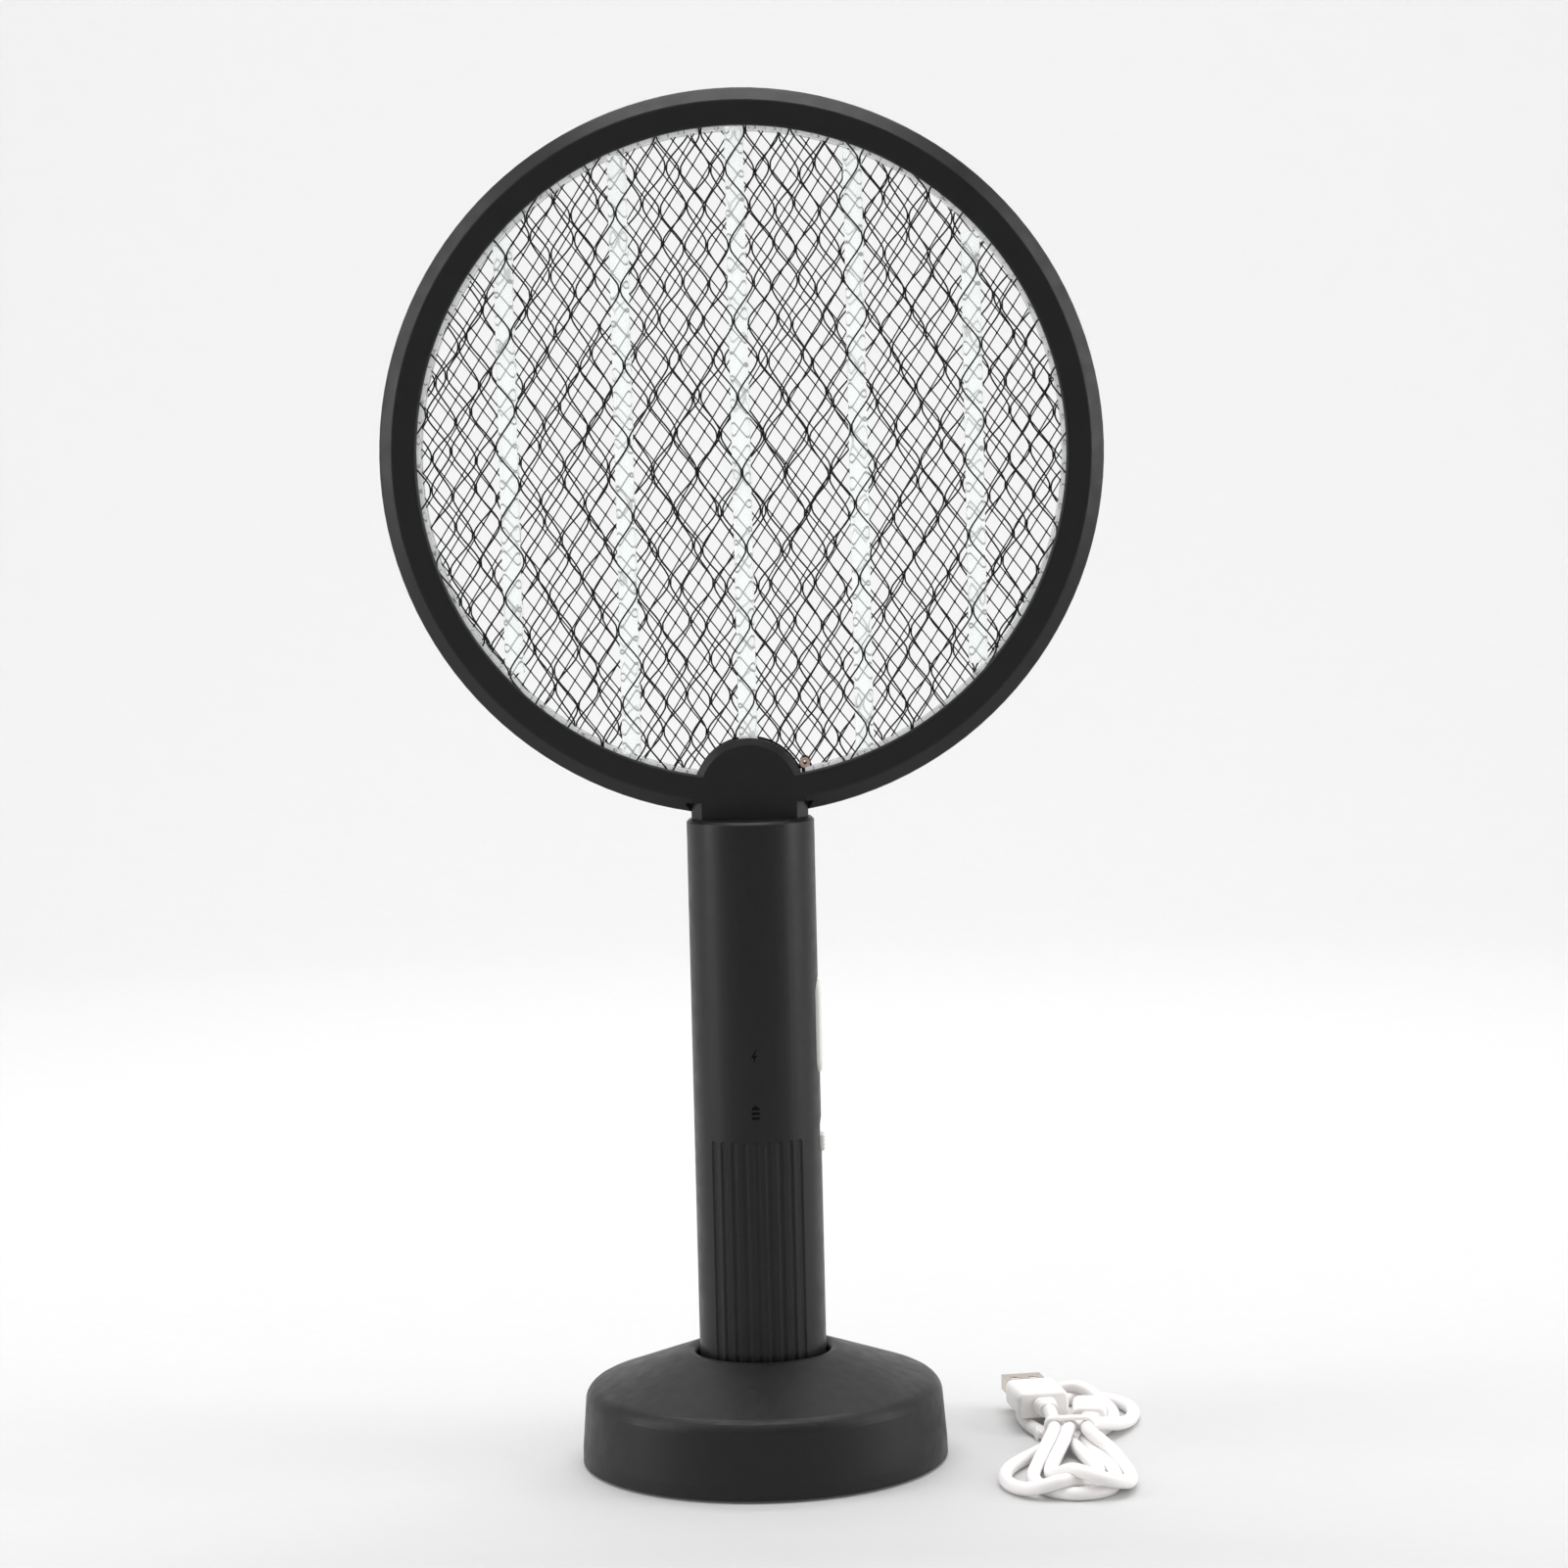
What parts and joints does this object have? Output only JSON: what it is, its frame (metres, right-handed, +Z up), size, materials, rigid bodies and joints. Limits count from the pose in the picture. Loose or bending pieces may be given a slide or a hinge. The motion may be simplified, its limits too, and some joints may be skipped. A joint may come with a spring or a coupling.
{
  "type": "electric fly swatter",
  "caption": "Electric fly swatter with a round three-net head, tubular handle, round socket stand and a loose charging cable in a tied hank.",
  "frame": {"origin": "centre of the stand's underside, on the surface it stands on", "axes": "+Z up along the handle; -Y is the front of the nets; +X is the side with the push button"},
  "size_m": [0.2196, 0.1196, 0.401],
  "materials": {
    "black_shell": "fine-textured matte ABS",
    "black_frame": "smooth satin ABS",
    "stand_plastic": "fine-textured matte ABS",
    "black_net": "black coated steel",
    "brown_net": "dark coated steel",
    "clear_plastic": "clear, slightly milky",
    "rubber_foot": "soft rubber",
    "screw_steel": "zinc-plated steel",
    "dark_screw": "blackened steel",
    "terminal_metal": "tinned brass",
    "lead_insulation": "PVC lead",
    "window_plastic": "smoked light pipe",
    "board": "solder-masked glass-fibre board",
    "ferrite": "taped ferrite winding",
    "film_cap": "dipped film capacitor",
    "chip_black": "moulded epoxy",
    "resistor_body": "lacquered",
    "lamp_lens": "clear epoxy",
    "cell_wrap": "heat-shrink sleeve",
    "nickel": "nickel-plated strip",
    "control_white": "pale satin plastic",
    "plug_metal": "satin stamped steel",
    "white_cable": "soft white PVC",
    "white_plug": "smooth white moulding"
  },
  "bodies": {
    "stand": {"stand_shell": "stand_plastic", "stand_base_plate": "stand_plastic", "stand_feet": "rubber_foot", "stand_screws": "screw_steel"},
    "swatter": {"head_frame_front": "black_frame", "head_frame_rear": "black_frame", "net_front": "black_net", "net_middle": "brown_net", "net_rear": "black_net", "spacer_front": "clear_plastic", "spacer_rear": "clear_plastic", "head_screws": "dark_screw", "neck_screws": "dark_screw", "net_terminals": "terminal_metal", "net_leads": "lead_insulation", "handle_front_shell": "black_shell", "handle_rear_shell": "black_shell", "handle_screws": "dark_screw", "bolt_window": "window_plastic", "battery_window": "window_plastic", "main_board": "board", "transformer": "ferrite", "film_capacitors": "film_cap", "rectifier_diodes": "chip_black", "switching_transistor": "chip_black", "resistors": "resistor_body", "charge_chip": "chip_black", "indicator_lamps": "lamp_lens", "battery_cell": "cell_wrap", "battery_strips": "nickel", "battery_leads": "lead_insulation", "button_switch": "chip_black", "slide_switch_body": "nickel", "charge_board": "board", "charge_socket": "nickel", "charge_socket_tongue": "chip_black"},
    "push_button": {"push_button": "control_white"},
    "slide_switch_knob": {"slide_switch_knob": "control_white"},
    "charging_cable": {"cable_hank_lower": "white_cable", "cable_hank_upper": "white_cable", "cable_tie": "white_cable", "usb_plug_shell": "plug_metal", "usb_plug_insert": "white_plug", "usb_plug_grip": "white_plug", "micro_plug_shell": "plug_metal", "micro_plug_grip": "white_plug"}
  },
  "joints": [
    {"name": "lift_out", "type": "slide", "parent": "stand", "child": "swatter", "axis": [0, 0, 1], "range_m": [0, 0.1]},
    {"name": "button_press", "type": "slide", "parent": "swatter", "child": "push_button", "axis": [-1, 0, 0], "range_m": [0, 0.001], "stiffness_N_per_m": 1500, "springref_m": -0.0005},
    {"name": "switch_slide", "type": "slide", "parent": "swatter", "child": "slide_switch_knob", "axis": [0, 0, 1], "range_m": [0, 0.004]},
    {"name": "cable_lift", "type": "slide", "parent": "stand", "child": "charging_cable", "axis": [0, 0, 1], "range_m": [0, 0.05]}
  ]
}
